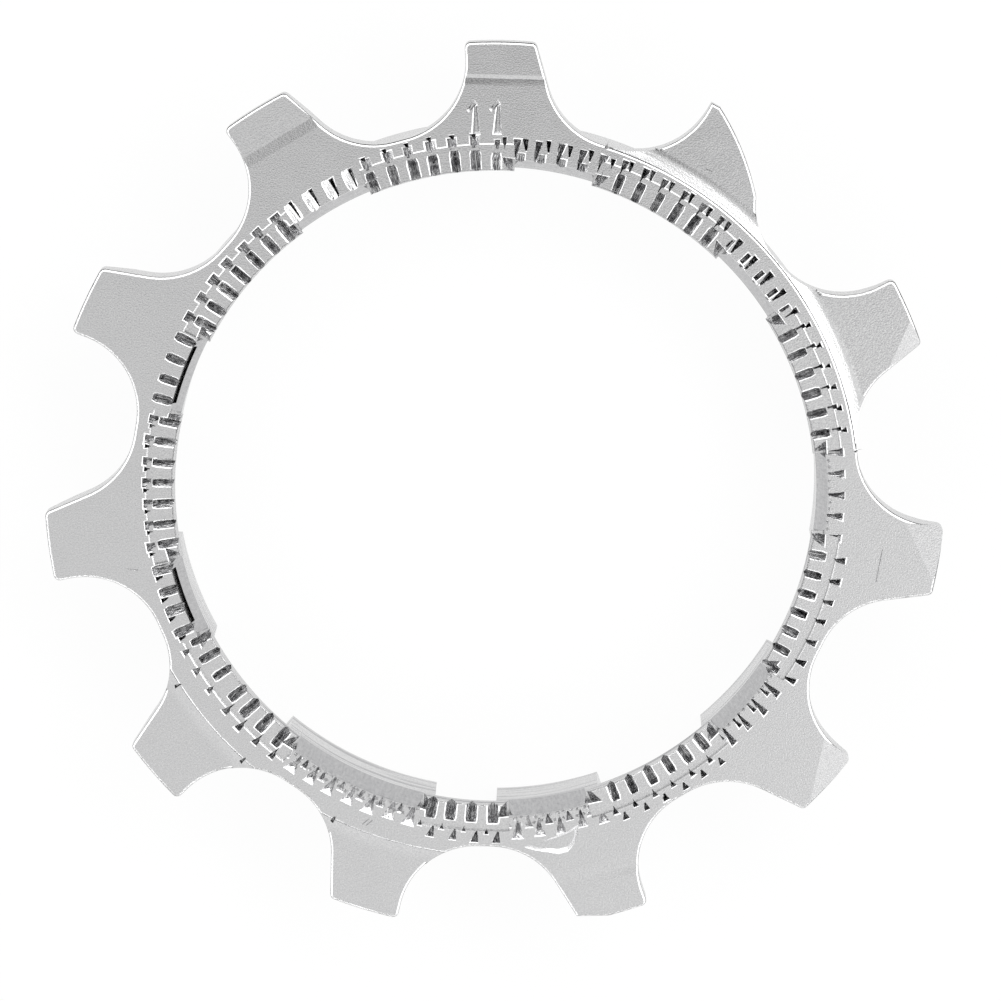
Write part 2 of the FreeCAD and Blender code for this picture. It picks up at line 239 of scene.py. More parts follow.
def tooth_outline():
    """The whole outline, clockwise: each gullet with the tooth that follows it."""
    lead = flank_and_corner(1, LEAD_FLANK)
    trail = flank_and_corner(-1, TRAIL_FLANK)
    outline = []
    for number in range(TEETH):
        turn = Matrix.Rotation(radians(angle_of_tooth(number + 0.5) - FIRST_TOOTH), 2)
        outline += [turn @ point for point in trail[::-1] + lead]
        begin = degrees(atan2(outline[-1].y, outline[-1].x))
        following = Matrix.Rotation(radians(angle_of_tooth(number + 1.5) - FIRST_TOOTH), 2) @ trail[-1]
        end = degrees(atan2(following.y, following.x))
        sweep = (end - begin + 180) % 360 - 180
        count = round(abs(sweep))
        outline += [Vector(polar(TIP, begin + sweep * index / count)) for index in range(1, count)]
    return outline


def tooth_plate():
    plate = prism("cog", tooth_outline(), PLATE_BACK, FACE)
    pointed_tooth(plate)
    trimmed_tooth(plate)

    # Corners nearer together than the bevel is wide are merged, most of all at the pointed tip
    merge_close(plate, 0.09, lambda place: True)
    point = Vector(polar(22.85, 62))
    merge_close(plate, 0.4, lambda place: (place.xy - point).length < 0.45)
    bevel_rim(plate, FACE)
    return plate


def pointed_tooth(plate):
    """The shifting tooth: one wide bowed cut takes its clockwise side."""
    half, rise, fall, bow = 3.0, 0.16, 3.58, 13.5
    left = Vector((-half, TIP + rise))
    right = Vector((half, TIP - fall))
    chord = right - left
    across = Vector((chord.y, -chord.x)).normalized()
    centre = (left + right) / 2 + across * sqrt(bow ** 2 - (chord.length / 2) ** 2)
    first = atan2(left.y - centre.y, left.x - centre.x)
    last = atan2(right.y - centre.y, right.x - centre.x)
    steps = 24
    arc = [(centre.x + bow * cos(first + (last - first) * index / steps),
            centre.y + bow * sin(first + (last - first) * index / steps)) for index in range(steps + 1)]
    outline = [(-half, TIP + PAST)] + arc + [(half, TIP + PAST)]
    tool = prism("pointed_cut", [(y, -x) for x, y in outline], PLATE_BACK - PAST, FACE + PAST)
    tool.data.transform(Matrix.Rotation(radians(angle_of_tooth(1)), 4, "Z"))
    boolean(plate, tool)


def trimmed_tooth(plate):
    """One corner of this tooth's tip is taken off."""
    side, fall = 1.6, 0.39
    outline = [(TIP, 0), (TIP + PAST, 0), (TIP + PAST, -side), (TIP - fall, -side)]
    tool = prism("trim_cut", outline, PLATE_BACK - PAST, FACE + PAST)
    tool.data.transform(Matrix.Rotation(radians(angle_of_tooth(5)), 4, "Z"))
    boolean(plate, tool)


def merge_close(piece, distance, wanted):
    """Merge the corners that the test picks where they lie closer than the distance."""
    only(piece)
    bpy.ops.object.mode_set(mode="EDIT")
    bpy.context.tool_settings.mesh_select_mode = (True, False, False)
    bpy.ops.mesh.select_all(action="DESELECT")
    bpy.ops.object.mode_set(mode="OBJECT")
    for vertex in piece.data.vertices:
        vertex.select = wanted(vertex.co)
    bpy.ops.object.mode_set(mode="EDIT")
    bpy.ops.mesh.remove_doubles(threshold=distance)
    bpy.ops.object.mode_set(mode="OBJECT")


def select_edges(piece, wanted):
    """In edit mode, select just the edges that the test picks by their two ends."""
    only(piece)
    bpy.ops.object.mode_set(mode="EDIT")
    bpy.ops.mesh.select_all(action="DESELECT")
    bpy.context.tool_settings.mesh_select_mode = (False, True, False)
    bpy.ops.object.mode_set(mode="OBJECT")
    mesh = piece.data
    for edge in mesh.edges:
        first, second = (mesh.vertices[index].co for index in edge.vertices)
        edge.select = bool(wanted(first, second))
    bpy.ops.object.mode_set(mode="EDIT")


def bevel_rim(plate, level):
    """A fine bevel along the outline of the faces at this level."""
    flat, steep, near = 0.1, 60, 0.002
    only(plate)
    bpy.ops.object.mode_set(mode="EDIT")
    bpy.context.tool_settings.mesh_select_mode = (False, True, False)
    bpy.ops.mesh.select_all(action="SELECT")
    bpy.ops.mesh.dissolve_limited(angle_limit=radians(flat))
    bpy.ops.mesh.select_all(action="DESELECT")
    bpy.ops.mesh.edges_select_sharp(sharpness=radians(steep))
    bpy.ops.object.mode_set(mode="OBJECT")
    mesh = plate.data
    for edge in mesh.edges:
        if edge.select:
            edge.select = all(abs(mesh.vertices[index].co.z - level) < near for index in edge.vertices)
    bpy.ops.object.mode_set(mode="EDIT")
    bpy.ops.mesh.bevel(offset=RIM_BEVEL, offset_type="OFFSET", segments=2, profile=RIM_PROFILE,
                       affect="EDGES")
    bpy.ops.object.mode_set(mode="OBJECT")

    # A bevel that runs out on a sloping face can leave a corner above the metal
    for vertex in mesh.vertices:
        vertex.co.z = min(vertex.co.z, FACE)


# Bore, lip, keys and lands

def key_spans(width):
    """Start and end angle of each key of this width, the wide one with its extra."""
    spans = []
    for number in range(KEYS):
        middle = KEY_PHASE + KEY_PITCH * number
        growth = WIDE_GROWTH if number == 6 else 0
        spans.append((middle - width / 2, middle + width / 2 + growth))
    return spans


def between(spans):
    """The stretches between neighbouring spans."""
    following = spans[1:] + [(spans[0][0] + 360, 0)]
    return [(here[1], there[0]) for here, there in zip(spans, following)]


def bored(cog):
    boolean(cog, round_bar("lip_bore", LIP, -PAST, FACE + PAST))
    boolean(cog, lathed("key_bore", [
        (LIP - PAST, -PAST), (KEY_TIP + COLLAR_BEVEL + PAST, -PAST), (KEY_TIP, COLLAR_BEVEL),
        (KEY_TIP, LIP_BACK), (LIP - PAST, LIP_BACK),
    ]))
    recesses = [
        lathed("recess", [
            (LIP - PAST, -PAST), (SPLINE, -PAST), (SPLINE, LIP_BACK + SEAM), (LIP - PAST, LIP_BACK + SEAM),
        ], start, end - start)
        for start, end in between(key_spans(KEY_WIDTH))
    ]
    boolean(cog, joined(recesses))

    # A land's outer wall leans out a little, and its upper edge is broken, for a bright line
    wall, edge, share = 0.04, 0.07, 0.42
    rim = LAND + wall
    lands = [
        lathed("land", [
            (LIP - PAST, LIP_BACK + SEAM), (LIP - SEAM, LIP_BACK + SEAM),
            (LIP_EDGE - LIP_CHAMFER, LAND_LEVEL - LIP_CHAMFER), (LIP_EDGE, LAND_LEVEL), (LAND, LAND_LEVEL),
            (rim, FACE - edge * share), (rim + edge, FACE), (rim + edge, FACE + PAST),
            (LIP - PAST, FACE + PAST),
        ], start, end - start)
        for start, end in between(key_spans(KEY_WIDTH - OVERLAP * 2))
    ]
    boolean(cog, joined(lands))

    # The lead-ins slope down into the bore, each with a broken upper edge of its own
    shoulder = LEAD_IN_TOP - 0.03
    lead_ins = [
        lathed("lead_in", [
            (LIP - PAST, FACE - LEAD_IN_DEPTH), (KEY_TIP, FACE - LEAD_IN_DEPTH),
            (shoulder, FACE - LIP_CHAMFER), (shoulder + LEAD_IN_EDGE, FACE),
            (shoulder + LEAD_IN_EDGE * 2, FACE + LIP_CHAMFER), (LIP - PAST, FACE + PAST),
        ], start, end - start)
        for start, end in key_spans(KEY_WIDTH - OVERLAP * 2 + SEAM)
    ]
    boolean(cog, joined(lead_ins))


def back_bevel(cog):
    slope = BACK_BEVEL_HEIGHT / BACK_BEVEL_REACH
    inner = TIP - BACK_BEVEL_REACH
    tool = lathed("back_bevel", [
        (inner, PLATE_BACK), (inner, PLATE_BACK - PAST), (TIP + PAST, PLATE_BACK - PAST),
        (TIP + PAST, PLATE_BACK + slope * (BACK_BEVEL_REACH + PAST)),
    ])
    boolean(cog, tool)


# Lowered faces of the shifting teeth: (past the edge, below the face) of each sloping step
RAMP = ((0.0, 0.0), (0.06, 0.03), (0.12, 0.11), (0.6, 0.29), (0.8, 0.335), (0.98, 0.35))
SHELF = ((-0.03, 0.0), (0.03, 0.035), (0.07, 0.085), (0.4, 0.135), (0.75, 0.16))


def lowered_faces(cog):
    for middle, inner, steps in ((1.5, 18.45, RAMP), (6.5, 19.02, SHELF)):
        start = angle_of_tooth(middle + 1)
        lower = FACE - steps[-1][1]
        profile = [(inner + past, FACE - below) for past, below in steps]
        tool = lathed("lowered_face", [(profile[0][0], FACE + PAST)] + profile + [
            (TIP + PAST, lower), (TIP + PAST, FACE + PAST),
        ], start, TOOTH_PITCH * 2)
        boolean(cog, tool)
        bevel_rim(cog, lower)


# Marks struck and scored into the face

def punch(name, corners, depth, level=FACE, lean=0.0, squeeze=(0.5, 0.06), flare=FLARE):
    """A punch tip on the +X line, for a V mark with a fine bright lip.

    The corners are (angle, radius) places on the struck surface. Lean moves the keel
    counter-clockwise, and squeeze gives its share of the outline's length and width."""
    outline = [Vector(polar(radius, angle)) for angle, radius in corners]
    middle = sum(outline, Vector((0, 0))) / len(outline)
    centre = (middle.x, middle.y, level)
    length = max(point.x for point in outline) - min(point.x for point in outline)
    width = max(point.y for point in outline) - min(point.y for point in outline)
    spread = flare * (RISE + LIP_FALL) / LIP_FALL * 2
    longer = 1 + spread / length
    wider = 1 + spread / width
    tool = flat_outline(name, [(x, y, level + RISE) for x, y in outline])
    bpy.ops.object.mode_set(mode="EDIT")
    bpy.ops.mesh.select_all(action="SELECT")
    bpy.ops.transform.resize(value=(longer, wider, 1), center_override=centre)
    bpy.ops.mesh.extrude_region_move(TRANSFORM_OT_translate={"value": (0, 0, -RISE - LIP_FALL)})
    bpy.ops.transform.resize(value=(1 / longer, 1 / wider, 1), center_override=centre)
    bpy.ops.mesh.extrude_region_move(TRANSFORM_OT_translate={"value": (0, 0, LIP_FALL - depth)})
    bpy.ops.transform.resize(value=(*squeeze, 1), center_override=(middle.x, middle.y + lean, level))
    bpy.ops.object.mode_set(mode="OBJECT")
    face_outwards(tool)
    return tool


def scorer(name, start, end, section, drop=0.0):
    """A straight cutter between two (angle, radius) places, with (left, height) section corners."""
    begin = Vector((*polar(start[1], start[0]), 0))
    finish = Vector((*polar(end[1], end[0]), 0))
    left = UP.cross((finish - begin).normalized())
    piece = flat_outline(name, [begin + left * across + UP * (height - drop) for across, height in section])
    bpy.ops.object.mode_set(mode="EDIT")
    bpy.ops.mesh.select_all(action="SELECT")
    bpy.ops.mesh.extrude_region_move(TRANSFORM_OT_translate={"value": finish - begin})
    bpy.ops.object.mode_set(mode="OBJECT")
    face_outwards(piece)
    return piece


# A mark's outline runs from its counter-clockwise (left) to its clockwise (right) angle

def vee(left, right, outer, point, inner, depth=0.42, lean=0.0):
    """A triangle with its blunt end outwards."""
    corners = [(left, outer), (right, outer), (point - 0.1, inner), (point + 0.1, inner)]
    return corners, depth, FACE, lean, (0.5, 0.06)


def block(left, right, outer, inner, depth=0.42, lean=0.0):
    """A short slot with straight ends."""
    corners = [(left, outer), (right, outer), (right, inner), (left, inner)]
    return corners, depth, FACE, lean, (0.6, 0.06)


def oval(left, right, outer, inner, depth=0.5, lean=0.0):
    """A long slot with a round inner end."""
    middle = (left + right) / 2
    corners = [
        (left - 0.2, outer), (right + 0.2, outer), (right, outer - 0.2), (right, inner + 0.4),
        (middle - 0.2, inner), (middle + 0.2, inner), (left, inner + 0.4), (left, outer - 0.2),
    ]
    return corners, depth, FACE, lean, (0.7, 0.06)


def pit(left, right, outer=17.5, depth=0.48, lean=0.0):
    """A broken-out slot in a land, open to the bore."""
    inner = LIP - 0.3
    corners = [(left - 0.15, outer), (right + 0.15, outer), (right, outer - 0.2), (right, inner),
               (left, inner), (left, outer - 0.2)]
    return corners, depth, LAND_LEVEL, lean, (0.9, 0.02)


# The ring, stretch by stretch: first and last mark, then what each strike left there
STRUCK = [
    (0, 2, [vee(0.0, -1.2, 17.87, -0.4, 17.0, 0.35, 0.08)]),
    (3, 8, [block(0.1, -0.6, 17.95, 17.4), vee(-0.2, -1.1, 18.25, -0.7, 17.95),
            pit(0.1, -1.4, 17.4)]),
    (9, 13, [block(0.4, -0.45, 17.75, 17.15), vee(-0.5, -1.6, 18.0, -1.2, 17.15, 0.5, -0.05),
             block(0.1, -0.7, 17.1, 16.9, 0.2)]),
    (14, 19, [vee(0.7, -0.4, 18.25, 0.3, 17.3, 0.45, 0.05), vee(-0.6, -1.4, 18.3, -1.2, 17.7, 0.4, -0.05),
              pit(0.5, -1.0)]),
    (20, 24, [vee(0.5, -0.7, 18.1, 0.2, 17.0, 0.4, 0.06), vee(-1.0, -1.8, 18.15, -1.6, 17.55, 0.5),
              block(0.0, -1.3, 17.4, 16.8, 0.3)]),
    (25, 25, [block(0.0, -0.9, 18.05, 17.5), vee(-1.4, -2.1, 18.15, -1.8, 17.4),
              pit(0.3, -1.2, 17.3, 0.3)]),
    (26, 31, [block(0.3, -1.2, 18.2, 17.5, 0.35, 0.1), vee(0.1, -0.7, 18.4, -0.5, 18.1),
              pit(0.4, -1.3)]),
    (32, 35, [oval(0.2, -1.4, 18.05, 16.85, 0.14, 0.1), vee(-0.9, -1.6, 18.1, -1.2, 17.1, 0.5)]),
    (36, 42, [block(-0.3, -1.9, 18.1, 17.5, 0.5), pit(-0.3, -1.9)]),
    (43, 46, [oval(-0.3, -1.7, 18.05, 16.8)]),
    (47, 53, [block(-0.5, -1.9, 18.0, 17.5, 0.45, -0.1), vee(0.3, -0.4, 17.95, 0.0, 17.6),
              pit(-0.5, -1.9, 17.5, 0.48, -0.1)]),
    (54, 57, [oval(0.1, -1.5, 18.0, 16.65, 0.5, -0.08), vee(0.9, 0.2, 17.95, 0.3, 17.55)]),
    (58, 60, [vee(-0.2, -1.2, 18.1, -0.9, 17.55, 0.3), pit(-0.9, -2.3, 17.5)]),
    (61, 64, [vee(0.6, -0.5, 18.15, 0.3, 17.35), pit(0.0, -1.8)]),
    (65, 71, [vee(1.0, -0.8, 18.0, 0.4, 16.95, 0.25, 0.05), vee(-1.3, -2.3, 17.5, -1.8, 17.0, 0.2)]),
    (72, 75, [vee(0.9, -0.3, 18.35, 0.6, 17.75, 0.35), vee(-1.1, -1.8, 17.9, -1.4, 17.6, 0.35),
              pit(0.6, -1.2, 17.4)]),
    (76, 80, [vee(1.0, -0.6, 18.15, 0.4, 17.25, 0.25), vee(-0.9, -2.1, 17.6, -1.6, 17.1, 0.2)]),
    (81, 86, [vee(0.6, -0.45, 18.4, 0.2, 18.0, 0.4), vee(-0.75, -1.6, 18.0, -1.3, 17.55, 0.4),
              pit(0.35, -1.15, 17.35)]),
    (87, 90, [vee(0.55, -0.6, 18.07, 0.35, 17.0, 0.45, 0.12), vee(-0.55, -1.3, 17.58, -0.9, 17.0, 0.38)]),
    (91, 97, [vee(0.1, -0.95, 18.3, -0.7, 17.6, 0.42, 0.05), pit(0.25, -1.2, 17.3)]),
    (98, 99, [vee(0.0, -1.2, 17.87, -0.4, 17.0, 0.35, 0.08)]),
]


def varied_copy(piece, angle, draw):
    """A turned copy, a little wider or narrower and a little further in or out."""
    turn, slide, sink = 0.12, 0.05, 0.015
    copy = turned_copy(piece, 0)
    copy.data.transform(Matrix.Rotation(radians(angle + draw.uniform(-turn, turn)), 4, "Z")
                        @ Matrix.Translation((draw.uniform(-slide, slide), 0, draw.uniform(-sink, sink)))
                        @ Matrix.Diagonal((1, draw.uniform(0.9, 1.12), 1, 1)))
    return copy


def roughened(tool, seed):
    """A worn tool: every side in four, every corner a little out of place and the deep ones more so.

    The corners are taken in the order of their places, so that every run gives the same tool."""
    rim, depths, deep = 0.006, 0.028, LAND_LEVEL - 0.12
    only(tool)
    bpy.ops.object.mode_set(mode="EDIT")
    bpy.ops.mesh.select_all(action="SELECT")
    bpy.ops.mesh.subdivide(number_cuts=1)
    bpy.ops.object.mode_set(mode="OBJECT")
    draw = random.Random(seed)
    for vertex in sorted(tool.data.vertices, key=lambda corner: tuple(corner.co)):
        reach = depths if vertex.co.z < deep else rim
        vertex.co += Vector([draw.uniform(-reach, reach) for axis in range(3)])
    note_torn(tool)
    return tool


def serrations(cog):
    """Three strikes round the ring, so that neighbouring tools never overlap."""
    draw = random.Random(11)
    for strike in range(3):
        tools = []
        for first, last, marks in STRUCK:
            if strike >= len(marks):
                continue
            corners, depth, level, lean, squeeze = marks[strike]
            master = punch("mark", corners, depth, level, lean, squeeze)
            for number in range(first, last + 1):
                tools.append(varied_copy(master, MARK_PHASE + MARK_PITCH * number, draw))
            bpy.data.objects.remove(master)
        boolean(cog, roughened(joined(tools), strike))


def lip_ends(cog):
    """Each end of a lip is broken away by a slanting facet."""
    tools = []
    for start, end in key_spans(KEY_WIDTH - OVERLAP * 2):
        for angle, side in ((start, -1), (end, 1)):
            inner = LIP - 0.3
            corners = [(side * 2.3, 17.12), (-side * 0.5, 17.05), (-side * 0.6, inner), (side * 0.2, inner)]
            tool = punch("lip_end", corners, 0.6, LAND_LEVEL, -side * 0.1, (0.8, 0.2))
            tool.data.transform(Matrix.Rotation(radians(angle), 4, "Z"))
            tools.append(tool)
    tool = joined(tools)
    note_torn(tool)
    boolean(cog, tool)


def bruises(cog):
    """Small dents along the upper edge of the lead-ins, where the strikes pushed the metal over."""
    spacing, aside, across = 1.2, 0.15, 0.06
    draw = random.Random(3)
    dent = punch("dent", [(0, 0.12), (90, 0.09), (180, 0.12), (270, 0.09)], 0.1, flare=0.04)
    tools = []

    # Radius, first angle and last angle of each row
    rows = (
        (17.1, 235, 258), (17.1, 275, 288.5), (17.1, 315, 327.5), (17.1, 355, 367),
        (17.4, 236, 257), (17.4, 276, 288),
    )
    for row, start, end in rows:
        steps = round((end - start) / spacing)
        for index in range(steps + 1):
            angle = start + (end - start) * index / steps + draw.uniform(-aside, aside)
            copy = turned_copy(dent, 0)
            copy.data.transform(Matrix.Rotation(radians(angle), 4, "Z")
                                @ Matrix.Translation((row + draw.uniform(-across, across), 0, 0))
                                @ Matrix.Rotation(draw.uniform(0, 6), 4, "Z")
                                @ Matrix.Scale(draw.uniform(0.6, 1.0), 4, (1, 0, 0)))
            tools.append(copy)
    bpy.data.objects.remove(dent)
    boolean(cog, joined(tools))


def creases(cog):
    """Dark folds along two keys' lead-ins, between the marks, and one that opens at a third's end."""
    foot = 3.8
    section = [(16.72, FACE + RISE), (17.06, FACE + RISE), (16.92, foot)]
    folds = [lathed("crease", section, start, sweep) for start, sweep in ((155.6, 10.6), (195.5, 10.0))]
    boolean(cog, joined(folds))
    tool = punch("fold", [(3.4, 16.4), (0.2, 16.72), (-0.9, 16.62), (-0.9, 16.3)], 0.9,
                 squeeze=(0.3, 0.8), flare=0.02)
    tool.data.transform(Matrix.Rotation(radians(235.4), 4, "Z"))
    boolean(cog, tool)


def scoop(cog):
    """A crescent scooped from the foot of the trimmed tooth."""
    corners = [
        (4.4, 18.0), (4.2, 18.3), (3.4, 18.8), (2.2, 19.15), (0.7, 19.2), (-0.6, 19.05),
        (-2.8, 18.85), (-4.3, 18.66), (-1.8, 18.5), (0.7, 18.32), (2.9, 18.15),
    ]
    tool = punch("scoop", corners, 0.16, squeeze=(0.7, 0.86), flare=0.06)
    tool.data.transform(Matrix.Rotation(radians(280.8), 4, "Z"))
    boolean(cog, tool)


def number_stamp(cog):
    """The number of teeth as two plain struck strokes, each with its flag."""
    for angle in (94.35, 91.0):
        stroke = punch("stroke", [(0.1, 19.8), (-0.35, 19.8), (-0.6, 18.35), (0.6, 18.35)], 0.2,
                       squeeze=(0.85, 0.3), flare=0.06)
        stroke.data.transform(Matrix.Rotation(radians(angle), 4, "Z"))
        flag = punch("flag", [(0.05, 20.04), (-0.28, 19.86), (0.88, 19.5), (1.1, 19.62)], 0.14,
                     squeeze=(0.8, 0.5), flare=0.045)
        flag.data.transform(Matrix.Rotation(radians(angle), 4, "Z"))
        boolean(cog, stroke)
        boolean(cog, flag)


def bends_and_scratches(cog):
    """Very shallow bends of the tooth faces, which catch or lose the light, and a few scratches."""
    top = FACE + RISE

    # Sections across the line of travel: two bent bands, a faint one, the bent corners, a scratch
    band = [(-0.2, FACE), (0, FACE - 0.03), (0.38, FACE), (0.38, top), (-0.2, top)]
    bent_tip = [(-1.8, FACE), (0, FACE - 0.05), (0.55, FACE), (0.55, top), (-1.8, top)]
    faint = [(-0.6, FACE), (0, FACE - 0.014), (0.4, FACE), (0.4, top), (-0.6, top)]
    left_corner = [(-0.05, FACE + 0.005), (2.5, FACE - 0.25), (2.5, top), (-0.05, top)]
    right_corner = [(-left, height) for left, height in left_corner]
    scratch = [(-0.04, FACE + 0.01), (0, FACE - 0.03), (0.04, FACE + 0.01)]

    # Section, the (angle, radius) places it runs between, and how far below the face it works
    lines = (
        (band, (81, 21.4), (99, 21.4), 0),
        (bent_tip, (114, 21.4), (131, 21.4), 0),
        (faint, (294, 20.9), (279, 20.9), 0),
        (left_corner, (358, 20.9), (348.5, 23.3), 0),
        (left_corner, (326, 21.0), (315.5, 23.2), 0),
        (right_corner, (19.5, 21.2), (25, 23.3), 0.35),
        (scratch, (353, 20.05), (348, 20.07), 0),
        (scratch, (194.3, 18.7), (193.8, 19.2), 0),
        (scratch, (58.6, 19.7), (57.5, 19.75), 0.35),
        (scratch, (249.2, 19.3), (247.8, 19.5), 0.1),
        (scratch, (251.5, 18.3), (250.8, 18.7), 0),
        (scratch, (250.9, 18.3), (250.2, 18.7), 0),
    )
    for section, start, end, drop in lines:
        boolean(cog, scorer("score", start, end, section, drop))
    nicks = []
    for angle, radius in ((245.7, 19.15), (213.5, 19.25), (228.9, 19.2)):
        nick = punch("nick", [
            (0.4, radius + 0.2), (-0.4, radius + 0.1), (0, radius - 0.25), (0.2, radius - 0.25),
        ], 0.3)
        nick.data.transform(Matrix.Rotation(radians(angle), 4, "Z"))
        nicks.append(nick)
    boolean(cog, joined(nicks))


def note_walls(cog):
    """Tell the material which faces are walls of the bore (green) and which its lead-ins (blue)."""
    mesh = cog.data
    worked = mesh.color_attributes.new(name="worked", type="FLOAT_COLOR", domain="CORNER")
    for polygon in mesh.polygons:
        inside = polygon.center.xy.length < SPLINE + 0.1
        steepness = 1 - polygon.normal.z
        wall = float(inside and steepness > 0.8)
        lead_in = float(inside and 0.5 < steepness <= 0.8)
        for corner in polygon.loop_indices:
            worked.data[corner].color = (0.0, wall, lead_in, 1.0)


def note_torn(tool):
    """The sides of this tool tear the metal (red): rough, dull and darker, partly painted shade. Its flared
    rim leaves a clean bright lip.
    """
    mesh = tool.data
    worked = mesh.color_attributes.new(name="worked", type="FLOAT_COLOR", domain="CORNER")
    for polygon in mesh.polygons:
        for corner in polygon.loop_indices:
            worked.data[corner].color = (float(abs(polygon.normal.z) < 0.75), 0.0, 0.0, 1.0)


def even_shading(cog):
    """Flat faces stay flat to the eye, and only shallow bends run smooth, save the creases of bent tips."""
    bend, crease, tips = 18, 5.3, 20.6 * METRE
    only(cog)
    bpy.ops.object.shade_smooth_by_angle(angle=radians(bend))
    bpy.ops.object.mode_set(mode="EDIT")
    bpy.context.tool_settings.mesh_select_mode = (False, True, False)
    bpy.ops.mesh.select_all(action="DESELECT")
    bpy.ops.mesh.edges_select_sharp(sharpness=radians(crease))
    bpy.ops.object.mode_set(mode="OBJECT")
    mesh = cog.data
    for edge in mesh.edges:
        if edge.select and all(mesh.vertices[index].co.xy.length > tips for index in edge.vertices):
            edge.use_edge_sharp = True
    modifier = cog.modifiers.new("even", "WEIGHTED_NORMAL")
    modifier.keep_sharp = True
    bpy.ops.object.modifier_apply(modifier=modifier.name)


def build_cog():
    cog = tooth_plate()
    lowered_faces(cog)
    collar = round_bar("collar", COLLAR, 0, PLATE_BACK + 0.3)
    select_edges(collar, lambda first, second: first.z < 1e-3 and second.z < 1e-3)
    bpy.ops.mesh.bevel(offset=COLLAR_BEVEL, segments=2, affect="EDGES")
    bpy.ops.object.mode_set(mode="OBJECT")
    boolean(cog, collar, "UNION")
    back_bevel(cog)
    bored(cog)
    note_walls(cog)
    scoop(cog)
    bends_and_scratches(cog)
    number_stamp(cog)
    creases(cog)
    lip_ends(cog)
    serrations(cog)
    bruises(cog)
    cog.data.transform(Matrix.Scale(METRE, 4))
    even_shading(cog)
    return cog


# Materials

def linear(hex_colour):
    """sRGB hex to linear red, green, blue and alpha."""
    values = []
    for start in (0, 2, 4):
        value = int(hex_colour[start:start + 2], 16) / 255
        values.append(value / 12.92 if value <= 0.04045 else ((value + 0.055) / 1.055) ** 2.4)
    return (*values, 1.0)


def add_node(tree, kind, settings=None, links=None, **inputs):
    """A node with its own settings, its input values by name, and its links."""
    node = tree.nodes.new(kind)
    for name, value in (settings or {}).items():
        setattr(node, name, value)
    for name, value in inputs.items():
        node.inputs[name.replace("_", " ")].default_value = value
    for name, source in (links or {}).items():
        tree.links.new(source, node.inputs[name])
    return node


